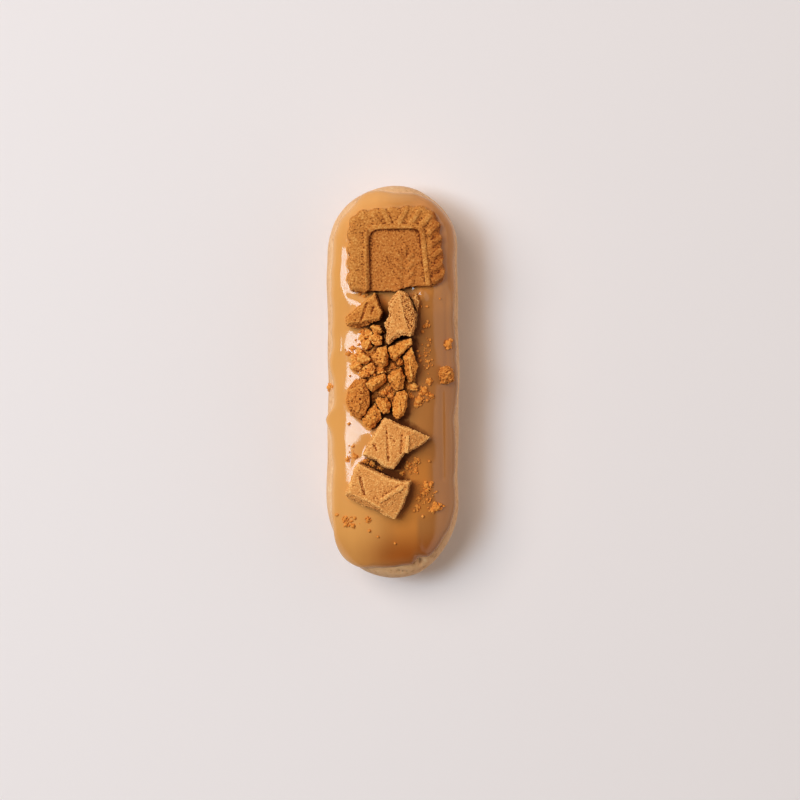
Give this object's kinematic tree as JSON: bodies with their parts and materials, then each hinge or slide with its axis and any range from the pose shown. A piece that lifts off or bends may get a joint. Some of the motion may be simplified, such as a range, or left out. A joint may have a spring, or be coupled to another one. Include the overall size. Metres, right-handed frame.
{
  "type": "eclair",
  "caption": "Oblong choux eclair with a glossy caramel glaze, topped with a broken spiced biscuit, biscuit chunks and crumbs, lying on its flat base.",
  "frame": {"origin": "middle of the eclair's box, on the surface it lies on", "axes": "+Y along the eclair towards the end with the half biscuit, +Z up, +X to the right seen from above with +Y up"},
  "size_m": [0.0438, 0.129, 0.0353],
  "materials": {
    "choux": "dry baked golden crust",
    "glaze": "smooth glossy caramel icing",
    "biscuit": "matt sandy biscuit face",
    "crumb": "matt rough broken biscuit"
  },
  "bodies": {
    "root": {"choux_shell": "choux", "caramel_glaze": "glaze", "biscuit_half": "biscuit", "shard_tall": "biscuit", "shard_upper": "biscuit", "shard_lower": "biscuit", "shard_left": "biscuit", "shard_behind": "biscuit", "chunk_left": "crumb", "chunk_low": "crumb", "chunk_right": "crumb", "chunk_middle": "crumb", "chunk_heart": "crumb", "chunk_wedge": "crumb", "chunk_crown": "crumb", "chunk_slab": "crumb", "chunk_edge": "crumb", "chunk_side": "crumb", "crumble_heap": "crumb"}
  },
  "joints": []
}
